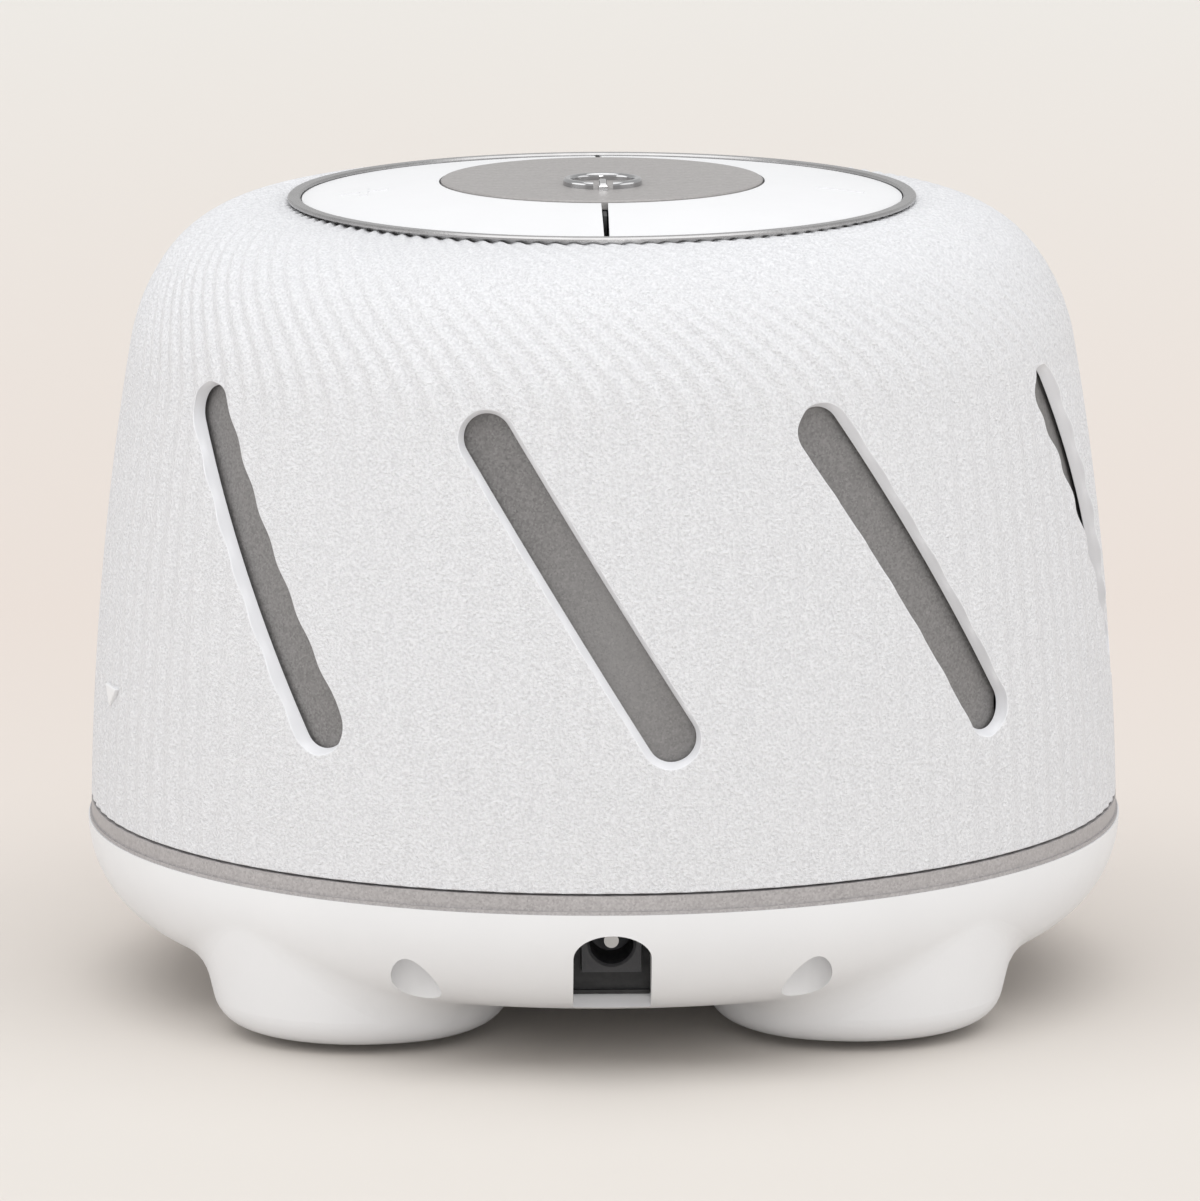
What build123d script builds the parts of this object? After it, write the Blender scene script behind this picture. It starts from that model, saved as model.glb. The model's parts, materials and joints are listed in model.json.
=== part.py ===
from build123d import *
from math import asin, atan2, ceil, cos, degrees, hypot, radians, sin, tan
import os

# A fan-driven white noise sound machine.  All sizes are in millimetres.
# It stands on z = 0, +Z is up, and the dome turns about Z.  The power inlet is in
# the rear, facing -Y, so the person who uses it looks along -Y from the +Y side.
# Azimuths run from the rear (-Y) towards +X, seen from above.

# ------------------------------------------------------------ feet and base pan
pad_stand = 1.1             # how far the rubber pads stand below the feet
pad_radius = 7.0
pad_recess = 1.0            # depth of the recess that holds a pad
leg_inset = 25.8            # from the rim of the base to each foot's middle
leg_count = 4
leg_first_azimuth = 45.0
leg_bottom_radius = 20.4
leg_top_radius = 25.4
leg_edge_radius = 5.4       # rounding at the bottom of a foot
leg_blend_radius = 8.0      # hollow rounding between a foot and the bowl
leg_wall = 4.6
leg_sole = 2.6              # plastic left under the hollow of a foot
base_rim_radius = 76.7
base_rim_height = 25.1
base_corner_radius = 16.8   # side of the bowl
base_turn_radius = 10.5     # where the side turns under
base_wall = 2.6
underside_height = 8.5

# ------------------------------------------------------- screws up through the base
base_screw_inset = 5.5      # of each screw from the rim of the base
base_screw_azimuth = 23.0   # either side of the rear and of the front
base_screw_seat = 19.6      # height of the face that the head pulls against
access_radius = 3.6         # hole that the screwdriver goes through
column_radius = 5.2         # of the column round that hole
socket_floor = 1.6          # plastic between the seat and the collar's boss
socket_clearance = 0.2
collar_boss_radius = 3.2    # bosses under the collar that the screws bite into
screw_core_radius = 1.5
screw_head_radius = 3.0
screw_head_height = 2.2
screw_roof = 0.6            # plastic left above a blind hole

# -------------------------------------------------------------- collar and dome
collar_height = 2.7
collar_step = 0.5           # band within the rim of the base
collar_lip_step = 0.2
collar_lip_height = 0.5
collar_width = 14.2
dome_gap = 0.3              # running gap above the collar and below the trim ring
dome_wall = 2.0
dome_lean = 1.3             # angle of the wall at the foot, in degrees from upright
dome_side_radius = 460.0
dome_side_angle = 9.8
dome_shoulder_radius = 30.0
dome_shoulder_angle = 35.0
dome_crown_radius = 19.5

# ------------------------------------------------------------------ sound slots
slot_count = 9              # places; the dome's one over the pointer stays plain
slot_azimuth = -3.6         # middle of the slot nearest the rear, dome at rest
slot_width = 6.9            # inside, where the walls meet the sleeve
slot_run = 26.0             # how far a slot leans sideways between its end centres
slot_low = 49.9             # heights of the end centres
slot_high = 91.7
slot_flare = 0.7            # how much wider each side is at the outside
slot_flare_depth = 1.6
sleeve_slot_run = 7.8       # the inner slots lean the other way
sleeve_slot_low = 49.2
sleeve_slot_high = 94.0
sleeve_slot_offset = 18.9   # from a dome slot to the next inner slot, in degrees

# ---------------------------------------------------------------- tone sleeve
sleeve_gap = 0.5            # between the dome and the sleeve
sleeve_wall = 2.0
well_clearance = 0.1        # well in the top of the sleeve, within the dome's mouth
well_depth = 6.6
deck_inner_radius = 39.0
sleeve_boss_inset = 8.3     # bosses that the collar's screws bite into
sleeve_boss_azimuth = 45.0
sleeve_boss_radius = 3.8
sleeve_boss_length = 10.0

# -------------------------------------------------------------- twist of the dome
twist_range = 20.0
stop_tab_width = 6.0        # degrees
stop_tab_depth = 1.5
stop_tab_azimuth = 120.0
stop_tab_inset = 2.1        # inner side of the tab, from the dome's foot
stop_tab_thickness = 1.3
stop_clearance = 0.3
pointer_azimuth = -75.5
pointer_height = 44.6
pointer_size = 3.0
pointer_relief = 0.25

# ------------------------------------------------------------------- top controls
ring_outer_radius = 46.3
ring_inner_radius = 44.4
ring_overlap = 0.7          # of the ring over the dome's mouth
ring_flange = 0.5           # thickness of the ring's edge over the dome
ring_bevel = 0.25
key_travel = 0.6
plate_gap = 0.2             # between the plates and the trim ring
plate_recess = 0.45         # plates below the ring at their outer edge
plate_rise = 2.35           # from there up to the disc
plate_thickness = 1.5
plate_inner_radius = 24.0
seam_inner = 1.0            # width of the slit between the plates at the disc
seam_outer = 0.56           # and at the trim ring
mark_length = 7.0           # raised plus and minus marks
mark_stroke = 1.1
mark_relief = 0.15
mark_radius = 35.0
mark_offset = -3.0
disc_radius = 23.7
disc_stand = 0.3            # disc above the plates
disc_thickness = 1.3
symbol_offset = -6.2        # centre of the power symbol, towards the rear
symbol_outer = 5.8
symbol_inner = 4.6
symbol_height = 1.05
symbol_gap = 2.9            # opening in the symbol's ring
symbol_bar_width = 1.15
symbol_bar_start = 1.2      # from the symbol's centre
symbol_bar_end = 6.6
switch_size = 6.0
switch_height = 2.5
switch_radius = 33.0        # distance of the plus and minus switches from the axis
plunger_radius = 1.7
plunger_stand = 0.7         # plunger above its switch
stem_radius = 2.4
guide_pin_radius = 1.2
guide_clearance = 0.08
plate_guide_radius = 33.5
plate_guide_azimuth = 42.0  # either side of the middle of a plate
disc_guide_radius = 15.0

# ------------------------------------------------------- frame and control board
frame_clearance = 0.2
frame_floor = 2.0
frame_wall = 1.5
frame_rim_height = 7.1
frame_window_radius = 9.0   # hole that the leads come up through
board_stand = 1.6
board_thickness = 1.6
board_radius = 41.0
board_post_radius = 2.6
board_post_ring = 36.5
board_post_azimuth = 15.0   # of the first of four posts
top_screw_ring = 41.2
top_screw_azimuth = 45.0
top_post_radius = 3.4
top_post_length = 6.0
rib_thickness = 0.5         # divider that shows in the slit, beside the disc
rib_start = 24.3
rib_end = 29.6
rib_drop = 1.1              # top of the divider below the plates

# --------------------------------------------------------------- power inlet
inlet_width = 11.1
inlet_top = 22.1
inlet_arch_rise = 3.6
alcove_wall = 2.0
alcove_depth = 12.7         # of the notch, from the rim of the base
sill_length = 2.9           # of the sill, level
plate_width = 15.0          # of the black plate behind the notch
plate_depth = 1.5
plate_top = 24.2
plate_ledge = 0.6           # small step along the plate's bottom edge
jack_height = 18.9          # centre of the socket
jack_width = 8.5
jack_bottom = 14.6
jack_top = 23.2
jack_stand = 2.0            # socket's face, in front of the notch's inner end
jack_length = 14.0
jack_bore_radius = 3.2
jack_mouth_radius = 3.55
jack_bore_depth = 9.5
jack_pin_radius = 1.05
jack_pin_length = 8.3
jack_clearance = 0.1
inlet_board_width = 24.0
inlet_board_length = 13.0
inlet_board_thickness = 1.6
inlet_post_radius = 3.0
inlet_board_hole = 9.5      # screws, either side of the middle
inlet_board_inset = 3.4     # screws, from the board's rear edge

# ------------------------------------------------------------ air intake and fan
grille_radius = 28.0
grille_flange = 2.5
grille_thickness = 1.5
grille_clearance = 0.2
grille_bar = 2.6
grille_pitch = 5.6
baffle_clearance = 0.3
baffle_thickness = 2.0
baffle_screw_inset = 5.5    # from the collar's inner edge
baffle_screw_azimuth = 27.3
baffle_post_radius = 4.0
inlet_eye_radius = 34.0
eye_lip = 1.5
eye_height = 8.4
mount_ring_radius = 40.0    # four rubber mounts that carry the motor
mount_count = 4
mount_post_radius = 4.0
mount_post_height = 5.1
grommet_radius = 4.5
grommet_height = 3.0
bracket_thickness = 2.0
bracket_hub_radius = 19.0
bracket_arm_width = 8.0
bracket_hole_radius = 10.0
small_screw_radius = 1.4
small_head_radius = 2.7
small_head_height = 1.5
small_screw_bite = 5.0      # length of thread in the plastic
motor_radius = 16.0
motor_wall = 1.0
motor_length = 24.4
motor_cap_thickness = 2.0
shaft_radius = 1.5
shaft_end_gap = 0.3
bearing_radius = 4.0
bearing_length = 3.0
running_clearance = 0.05
magnet_thickness = 2.6
magnet_span = 140.0
armature_radius = 11.0
armature_length = 12.0
fan_radius = 46.0
fan_inner_radius = 32.0
fan_height = 33.0
fan_clearance = 1.1         # above the lip of the eye
fan_disc = 1.6
fan_ring = 1.5
fan_ring_inner = 37.0
fan_hub_radius = 6.0
fan_hub_length = 20.0
blade_count = 24
blade_thickness = 1.2
blade_lean = 32.0

# --------------------------------------------------------------------- leads
lead_radius = 0.9
lead_clearance = 0.7
lead_bend = 5.4             # smallest bend
power_lead_x = 8.0          # where each lead goes up through the baffle
power_lead_y = -52.5
motor_lead_x = -17.0
motor_lead_y = -50.5
lead_belly = 2.0            # how far a lead leans outwards half way up
lead_belly_start = 33.0
lead_belly_height = 57.0
lead_turn_height = 82.0     # where a lead turns in towards the middle
lead_end_x = 4.0
lead_end_y = -4.0
lead_end_height = 99.0
motor_lead_start = 6.5      # from the axis, under the motor

# ------------------------------------------------------------- worked-out sizes
leg_ring_radius = base_rim_radius - leg_inset
base_screw_ring = base_rim_radius - base_screw_inset
collar_radius = base_rim_radius - collar_step
collar_lip_radius = base_rim_radius - collar_lip_step
collar_inner_radius = collar_radius - collar_width
dome_foot_radius = collar_radius
dome_mouth_radius = ring_outer_radius - ring_overlap
well_radius = dome_mouth_radius - well_clearance
sleeve_boss_ring = dome_foot_radius - sleeve_boss_inset
stop_tab_inner = dome_foot_radius - stop_tab_inset
stop_tab_outer = stop_tab_inner + stop_tab_thickness
alcove_back = base_rim_radius - alcove_depth
sill_edge = alcove_back + sill_length
jack_face = alcove_back + jack_stand
baffle_screw_ring = collar_inner_radius - baffle_screw_inset
foot_bottom = pad_stand
floor_top = underside_height + base_wall
collar_top = base_rim_height + collar_height
socket_bottom = base_screw_seat + socket_floor
base_screw_top = collar_top - screw_roof - screw_roof / 2
dome_foot = collar_top + dome_gap
baffle_top = base_rim_height + baffle_thickness
mount_base = floor_top + mount_post_height
bracket_bottom = mount_base + grommet_height
bracket_top = bracket_bottom + bracket_thickness
motor_top = bracket_top + motor_length
fan_ring_bottom = baffle_top + eye_height + fan_clearance
fan_top = fan_ring_bottom + fan_height


def form_top(inset):
    """Height of the flat top of the dome's form at an inset."""
    start = dome_foot - inset * sin(radians(dome_lean))
    rise = (dome_side_radius - inset) * (sin(radians(dome_side_angle)) - sin(radians(dome_lean)))
    rise += (dome_shoulder_radius - inset) * (
        sin(radians(dome_shoulder_angle)) - sin(radians(dome_side_angle))
    )
    rise += (dome_crown_radius - inset) * (1 - sin(radians(dome_shoulder_angle)))
    return start + rise


sleeve_inset = sleeve_gap + dome_wall
well_floor = form_top(sleeve_inset) - well_depth
ring_top = form_top(0) + dome_gap + ring_flange
plate_rim_top = ring_top - plate_recess
plate_inner_top = plate_rim_top + plate_rise
disc_top = plate_inner_top + disc_stand
frame_bottom = well_floor
frame_top = frame_bottom + frame_floor
frame_rim_top = frame_bottom + frame_rim_height
rib_top = plate_inner_top - rib_drop
board_bottom = frame_top + board_stand
board_top = board_bottom + board_thickness
switch_top = board_top + switch_height
plunger_top = switch_top + plunger_stand


# -------------------------------------------------------------------- helpers
def polar(radius, azimuth, height=0.0):
    """A place on a circle about Z."""
    a = radians(azimuth)
    return Pos(radius * sin(a), -radius * cos(a), height)


def facing(azimuth):
    """A turn that brings the rear, -Y, round to an azimuth."""
    return Rot(0, 0, azimuth)


def disc(radius, low, high):
    return Pos(0, 0, (low + high) / 2) * Cylinder(radius, high - low)


def tube(outer, inner, low, high):
    return disc(outer, low, high) - disc(inner, low - 1, high + 1)


def block(x0, x1, y0, y1, z0, z1):
    """A box from its low and high corners."""
    return Pos((x0 + x1) / 2, (y0 + y1) / 2, (z0 + z1) / 2) * Box(x1 - x0, y1 - y0, z1 - z0)


def turned(outline):
    """The solid that a closed outline of (radius, height) lines sweeps about Z."""
    return revolve(Plane.XZ * make_face(outline), Axis.Z)


def sector(outer, inner, low, high, azimuth, width):
    """A piece of a tube, centred on an azimuth, width degrees wide."""
    outline = Pos((outer + inner) / 2, (low + high) / 2) * Rectangle(outer - inner, high - low)
    piece = revolve(Plane.XZ * outline, Axis.Z, width)
    return Rot(0, 0, azimuth - 90 - width / 2) * piece


def spread(radius, azimuths, piece):
    """One piece at each azimuth of a circle."""
    return [polar(radius, azimuth) * piece for azimuth in azimuths]


def mirrored_azimuths(azimuth):
    """Four azimuths, either side of the rear and of the front."""
    return [azimuth, -azimuth, 180 - azimuth, 180 + azimuth]


def screw(core, head, low, seat, head_height):
    """A screw driven down: threaded below its seat, with its head above."""
    body = disc(core, low, seat) + disc(head, seat, seat + head_height)
    slot = Box(2 * head, 0.6, head_height) + Box(0.6, 2 * head, head_height)
    cross = slot & Cylinder(0.6 * head, head_height)
    return body - Pos(0, 0, seat + head_height) * cross


def save(name, shape):
    """Writes one sub-part as one STEP file."""
    shapes = shape if isinstance(shape, list) else [shape]
    solids = [solid for one in shapes for solid in one.solids()]
    body = solids[0] if len(solids) == 1 else Compound(children=solids)
    body.label = name
    export_step(body, f"parts/{name}.step")


# ------------------------------------------------------------------ the dome
def dome_form(inset, low):
    """The dome's outer form taken in by an inset, as a solid standing on a height."""
    arcs = [
        (dome_lean, dome_side_angle, dome_side_radius - inset),
        (dome_side_angle, dome_shoulder_angle, dome_shoulder_radius - inset),
        (dome_shoulder_angle, 90.0, dome_crown_radius - inset),
    ]
    start = (
        dome_foot_radius - inset * cos(radians(dome_lean)),
        dome_foot - inset * sin(radians(dome_lean)),
    )
    below = dome_foot - inset - 1
    lines = [Line((0, below), (start[0], below)), Line((start[0], below), start)]
    point = start
    for first, last, radius in arcs:
        centre = (
            point[0] - radius * cos(radians(first)),
            point[1] - radius * sin(radians(first)),
        )
        lines.append(CenterArc(centre, radius, first, last - first))
        point = (
            centre[0] + radius * cos(radians(last)),
            centre[1] + radius * sin(radians(last)),
        )
    lines += [Line(point, (0, point[1])), Line((0, point[1]), (0, below))]
    form = turned(lines)
    return form - disc(dome_foot_radius + dome_wall, below - 1, low)


def slot_cutter(azimuth, run, low, high):
    """A leaning round-ended cutter through the wall on one side."""
    height = high - low
    length = hypot(run, height)
    lean = degrees(atan2(run, height))
    shape = Rot(0, 0, 90 + lean) * SlotCenterToCenter(length, slot_width)
    reach = dome_foot_radius + dome_wall
    upright = Plane.XZ.offset(reach / 2) * shape
    cutter = extrude(upright, reach)
    return facing(azimuth) * Pos(0, 0, (low + high) / 2) * cutter


def slot_azimuths(offset=0.0):
    pitch = 360 / slot_count
    return [slot_azimuth + offset + k * pitch for k in range(slot_count)]


def clear_of_pointer(azimuth):
    """True for a slot of the dome that doesn't stand over the pointer."""
    away = abs((azimuth - pointer_azimuth + 180) % 360 - 180)
    return away > 180 / slot_count


def pointer_mark():
    """A small raised triangle near the dome's foot, pointing down."""
    half = pointer_size / 2
    face = make_face(Polyline((-half, half), (half, half), (0, -half), close=True))
    upright = Plane.XZ.offset(dome_foot_radius - dome_wall / 2) * face
    raised = Pos(0, 0, pointer_height) * extrude(upright, dome_wall)
    return (facing(pointer_azimuth) * raised) & dome_form(-pointer_relief, dome_foot)


def dome_shell():
    seam = slot_azimuth + 2.5 * 360 / slot_count
    shell = facing(seam - 90) * dome_form(0, dome_foot)
    for azimuth in filter(clear_of_pointer, slot_azimuths()):
        shell -= slot_cutter(azimuth, slot_run, slot_low, slot_high)
    holed = [face for face in shell.faces() if face.inner_wires()]
    side = max(holed, key=lambda face: face.area)
    rims = [edge for wire in side.inner_wires() for edge in wire.edges()]
    shell = chamfer(rims, slot_flare, slot_flare_depth, reference=side)
    shell -= dome_form(dome_wall, dome_foot - 1)
    shell -= disc(dome_mouth_radius, dome_foot, form_top(0) + 1)
    tab = sector(stop_tab_outer, stop_tab_inner, dome_foot - dome_gap - stop_tab_depth + stop_clearance,
                 dome_foot + 1, stop_tab_azimuth, stop_tab_width)
    return shell + tab + pointer_mark()


# --------------------------------------------------------------- tone sleeve
def tone_sleeve():
    outer = sleeve_inset
    inner = outer + sleeve_wall
    body = dome_form(outer, collar_top) - dome_form(inner, collar_top - 1)
    body += disc(well_radius + sleeve_wall, well_floor - sleeve_wall, form_top(inner) + sleeve_wall / 2)
    body -= disc(well_radius, well_floor, form_top(outer) + 1)
    for azimuth in slot_azimuths(sleeve_slot_offset):
        body -= slot_cutter(azimuth, -sleeve_slot_run, sleeve_slot_low, sleeve_slot_high)
    wall = dome_form(outer + sleeve_wall / 2, collar_top)
    for azimuth in mirrored_azimuths(sleeve_boss_azimuth):
        boss = disc(sleeve_boss_radius, collar_top, collar_top + sleeve_boss_length)
        body += (polar(sleeve_boss_ring, azimuth) * boss) & wall
    for azimuth in mirrored_azimuths(top_screw_azimuth):
        body += polar(top_screw_ring, azimuth) * disc(
            top_post_radius, well_floor - sleeve_wall - top_post_length, well_floor - sleeve_wall)
    body -= disc(deck_inner_radius, well_floor - sleeve_wall - 1, well_floor + 1)
    pilot = small_screw_radius + running_clearance
    for azimuth in mirrored_azimuths(sleeve_boss_azimuth):
        body -= polar(sleeve_boss_ring, azimuth) * disc(
            pilot, collar_top - 1, collar_top + small_screw_bite)
    for azimuth in mirrored_azimuths(top_screw_azimuth):
        body -= polar(top_screw_ring, azimuth) * disc(
            pilot, well_floor - sleeve_wall - small_screw_bite, well_floor + 1)
    return body


# ------------------------------------------------------------------ base pan
def bowl_form(inset, low):
    """The bowl's outer form taken in by an inset, closed at the rim, above a height."""
    corner = base_corner_radius - inset
    turn = base_turn_radius
    bottom = underside_height + inset
    middle = base_rim_radius - base_corner_radius
    angle = degrees(asin((base_rim_height - bottom - turn) / (corner - turn)))
    turn_centre = (
        middle + (corner - turn) * cos(radians(angle)),
        base_rim_height - (corner - turn) * sin(radians(angle)),
    )
    lines = [
        Line((0, bottom), (turn_centre[0], bottom)),
        CenterArc(turn_centre, turn, -90, 90 - angle),
        CenterArc((middle, base_rim_height), corner, -angle, angle),
        Line((middle + corner, base_rim_height), (0, base_rim_height)),
        Line((0, base_rim_height), (0, bottom)),
    ]
    form = turned(lines)
    if low > bottom:
        form -= disc(base_rim_radius + 1, bottom - 1, low)
    return form


def leg_azimuths():
    return [leg_first_azimuth + k * 360 / leg_count for k in range(leg_count)]


def leg_form():
    """One foot: a round cone that widens upwards into the bowl."""
    height = base_rim_height - base_wall - foot_bottom
    return Pos(0, 0, foot_bottom + height / 2) * Cone(leg_bottom_radius, leg_top_radius, height)


def leg_core():
    """The hollow inside one foot."""
    low = foot_bottom + pad_recess + leg_sole
    high = floor_top + 0.5
    slope = (leg_top_radius - leg_bottom_radius) / (base_rim_height - base_wall - foot_bottom)
    radius = leg_bottom_radius - leg_wall
    return Pos(0, 0, (low + high) / 2) * Cone(radius, radius + slope * (high - low), high - low)


def outside_of_base():
    """The bowl with its four feet blended in."""
    body = bowl_form(0, 0)
    for azimuth in leg_azimuths():
        body += facing(azimuth) * Pos(0, -leg_ring_radius, 0) * Rot(0, 0, 90) * leg_form()
    rim = [e for e in body.edges() if e.center().Z > base_rim_height - 0.1]
    soles = [e for e in body.edges() if e.bounding_box().max.Z < foot_bottom + 0.1]
    joints = []
    for edge in body.edges() - rim - soles:
        box = edge.bounding_box()
        centred = hypot(edge.center().X, edge.center().Y) < 1
        on_bowl = box.max.Z < base_rim_height - 1 and box.min.Z > foot_bottom + 1
        if on_bowl and not centred and touches_leg(edge):
            joints.append(edge)
    body = fillet(joints, leg_blend_radius)
    soles = [e for e in body.edges() if e.bounding_box().max.Z < foot_bottom + 0.1]
    return fillet(soles, leg_edge_radius)


def touches_leg(edge):
    """True for an edge that runs round a foot, where it meets the bowl."""
    slope = (leg_top_radius - leg_bottom_radius) / (base_rim_height - base_wall - foot_bottom)
    for share in (0.25, 0.75):
        point = edge.position_at(share)
        radius = leg_bottom_radius + slope * (point.Z - foot_bottom)
        away = [
            abs(hypot(point.X - leg_ring_radius * sin(radians(a)),
                      point.Y + leg_ring_radius * cos(radians(a))) - radius)
            for a in leg_azimuths()
        ]
        if min(away) > 0.05:
            return False
    return True


def inlet_notch():
    """The arched notch in the rear that the plug goes into, above its sloping sill."""
    half = inlet_width / 2
    spring = inlet_top - inlet_arch_rise
    low = underside_height - 1
    outline = [
        Line((-half, low), (-half, spring)),
        EllipticalCenterArc((0, spring), half, inlet_arch_rise, start_angle=0, arc_size=180),
        Line((half, spring), (half, low)),
        Line((half, low), (-half, low)),
    ]
    notch = extrude(Plane.XZ.offset(alcove_back) * make_face(outline), base_rim_radius)
    slope = (floor_top - underside_height) / (sill_edge - alcove_back)
    sill = Polyline((-sill_edge - 1 / slope, low), (-alcove_back + 1 / slope, floor_top + 1),
                    (-alcove_back + 1 / slope, low), close=True)
    return notch - extrude(Plane.YZ * make_face(sill), inlet_width, both=True)


def jack_room():
    """The square pocket that the socket's body stands in."""
    half = jack_width / 2 + jack_clearance
    return block(-half, half, -jack_face - jack_clearance, 0,
                 jack_bottom - jack_clearance, jack_top + jack_clearance)


def base_pan():
    body = outside_of_base()
    body -= bowl_form(base_wall, floor_top)
    for azimuth in leg_azimuths():
        body -= polar(leg_ring_radius, azimuth) * leg_core()
        body -= polar(leg_ring_radius, azimuth) * disc(
            pad_radius + jack_clearance, 0, foot_bottom + pad_recess)
    body -= disc(grille_radius, underside_height - leg_blend_radius / 2, floor_top + 1)
    # the walls round the inlet
    half = inlet_width / 2 + alcove_wall
    alcove = block(-half, half, -base_rim_radius, -alcove_back, floor_top - 1, plate_top)
    body += alcove & bowl_form(base_wall / 2, floor_top - 1)
    body = body - inlet_notch() - jack_room()
    body -= block(-plate_width / 2, plate_width / 2, -alcove_back, -alcove_back + plate_depth,
                  floor_top, plate_top)
    # the screw columns, their access holes below and their sockets above
    inside = bowl_form(base_wall / 2, underside_height)
    column = disc(column_radius, underside_height, base_rim_height) - disc(
        collar_boss_radius + socket_clearance, socket_bottom, base_rim_height + 1)
    for azimuth in mirrored_azimuths(base_screw_azimuth):
        place = polar(base_screw_ring, azimuth)
        body -= place * disc(column_radius - 1, socket_bottom, base_rim_height)
        body += (place * column) & inside
        body -= place * disc(access_radius, 0, base_screw_seat)
        body -= place * disc(screw_core_radius + 0.3, 0, base_rim_height)
    # the posts for the baffle, the motor and the inlet's board
    pilot = small_screw_radius + running_clearance
    posts = [(p, baffle_post_radius, base_rim_height) for p in baffle_places()]
    posts += [(p, mount_post_radius, mount_base) for p in mount_places()]
    posts += [(p, inlet_post_radius, jack_bottom - inlet_board_thickness) for p in inlet_places()]
    for place, radius, top in posts:
        body += place * disc(radius, floor_top - 1, top)
        body -= place * disc(pilot, max(top - small_screw_bite, floor_top), top + 1)
    return body


def foot_pads():
    return spread(leg_ring_radius, leg_azimuths(), disc(pad_radius, 0, foot_bottom + pad_recess))


def base_screws():
    one = screw(screw_core_radius, screw_head_radius, base_screw_seat - base_screw_top, 0,
                screw_head_height)
    upwards = Pos(0, 0, base_screw_seat) * Rot(180, 0, 0) * one
    return spread(base_screw_ring, mirrored_azimuths(base_screw_azimuth), upwards)


def sleeve_screws():
    """The four screws that hold the collar up against the sleeve."""
    one = screw(small_screw_radius, small_head_radius, -collar_height - small_screw_bite + 0.5, 0,
                small_head_height)
    upwards = Pos(0, 0, base_rim_height) * Rot(180, 0, 0) * one
    return spread(sleeve_boss_ring, mirrored_azimuths(sleeve_boss_azimuth), upwards)


def collar_band():
    band = tube(collar_radius, collar_inner_radius, base_rim_height, collar_top)
    band += tube(collar_lip_radius, collar_inner_radius, base_rim_height, base_rim_height + collar_lip_height)
    edge = degrees(stop_clearance / stop_tab_inner)
    groove = sector(
        stop_tab_outer + stop_clearance, stop_tab_inner - stop_clearance,
        collar_top - stop_tab_depth, collar_top + 1,
        stop_tab_azimuth + twist_range / 2, stop_tab_width + twist_range + 2 * edge)
    band -= groove
    socket = socket_bottom + socket_clearance
    for azimuth in mirrored_azimuths(base_screw_azimuth):
        place = polar(base_screw_ring, azimuth)
        band += place * disc(collar_boss_radius, socket, base_rim_height + collar_height / 2)
        band -= place * disc(screw_core_radius + running_clearance, socket - 1, collar_top - screw_roof)
    for azimuth in mirrored_azimuths(sleeve_boss_azimuth):
        band -= polar(sleeve_boss_ring, azimuth) * disc(
            small_screw_radius + 0.3, base_rim_height - 1, collar_top + 1)
    return band


# ------------------------------------------------------------- air intake, fan
def intake_grille():
    flange = disc(grille_radius + grille_flange, floor_top, floor_top + grille_thickness)
    plug = disc(grille_radius - grille_clearance, underside_height, floor_top)
    window = disc(grille_radius - grille_flange, underside_height - 1, floor_top + grille_thickness + 1)
    body = flange + plug - window
    bars = []
    count = ceil(grille_radius / grille_pitch)
    for k in range(-count, count + 1):
        x = k * grille_pitch
        if abs(x) < grille_radius - grille_flange:
            bars.append(block(x - grille_bar / 2, x + grille_bar / 2, -grille_radius, grille_radius,
                              underside_height, floor_top))
    cross = block(-grille_radius, grille_radius, -grille_bar / 2, grille_bar / 2,
                  underside_height, floor_top)
    for bar in bars + [cross]:
        body += bar & disc(grille_radius - grille_clearance, underside_height, floor_top)
    return body


def baffle_places():
    return [polar(baffle_screw_ring, a) for a in mirrored_azimuths(baffle_screw_azimuth)]


def air_baffle():
    body = disc(collar_inner_radius - baffle_clearance, base_rim_height, baffle_top)
    body += disc(inlet_eye_radius + eye_lip, baffle_top, baffle_top + eye_height)
    body -= disc(inlet_eye_radius, base_rim_height - 1, baffle_top + eye_height + 1)
    for place in baffle_places():
        body -= place * disc(small_screw_radius + 0.3, base_rim_height - 1, baffle_top + 1)
    for x, y in ((power_lead_x, power_lead_y), (motor_lead_x, motor_lead_y)):
        body -= Pos(x, y, 0) * disc(lead_radius + lead_clearance, base_rim_height - 1, baffle_top + 1)
    return body


def baffle_screws():
    one = screw(small_screw_radius, small_head_radius, base_rim_height - small_screw_bite + 0.5,
                baffle_top, small_head_height)
    return [place * one for place in baffle_places()]


def mount_azimuths():
    return [k * 360 / mount_count for k in range(mount_count)]


def mount_places():
    return [polar(mount_ring_radius, azimuth) for azimuth in mount_azimuths()]


def motor_grommets():
    ring = tube(grommet_radius, small_screw_radius + 0.3, mount_base, bracket_bottom)
    return spread(mount_ring_radius, mount_azimuths(), ring)


def motor_bracket():
    body = disc(bracket_hub_radius, bracket_bottom, bracket_top)
    for azimuth in mount_azimuths():
        arm = block(-bracket_arm_width / 2, bracket_arm_width / 2, -mount_ring_radius, 0,
                    bracket_bottom, bracket_top)
        end = polar(mount_ring_radius, 0) * disc(bracket_arm_width / 2, bracket_bottom, bracket_top)
        body += facing(azimuth) * (arm + end)
    for azimuth in mount_azimuths():
        body -= polar(mount_ring_radius, azimuth) * disc(
            small_screw_radius + 0.3, bracket_bottom - 1, bracket_top + 1)
    return body - disc(bracket_hole_radius, bracket_bottom - 1, bracket_top + 1)


def motor_screws():
    one = screw(small_screw_radius, small_head_radius, mount_base - small_screw_bite + 0.5,
                bracket_top, small_head_height)
    return spread(mount_ring_radius, mount_azimuths(), one)


def motor_can():
    can = disc(motor_radius, bracket_top, motor_top - motor_cap_thickness)
    can -= disc(motor_radius - motor_wall, bracket_top + motor_wall, motor_top)
    can += disc(bearing_radius + motor_wall, bracket_top, bracket_top + motor_wall + bearing_length)
    return can - disc(bearing_radius, bracket_top + motor_wall, bracket_top + 2 * motor_wall + bearing_length)


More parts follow.
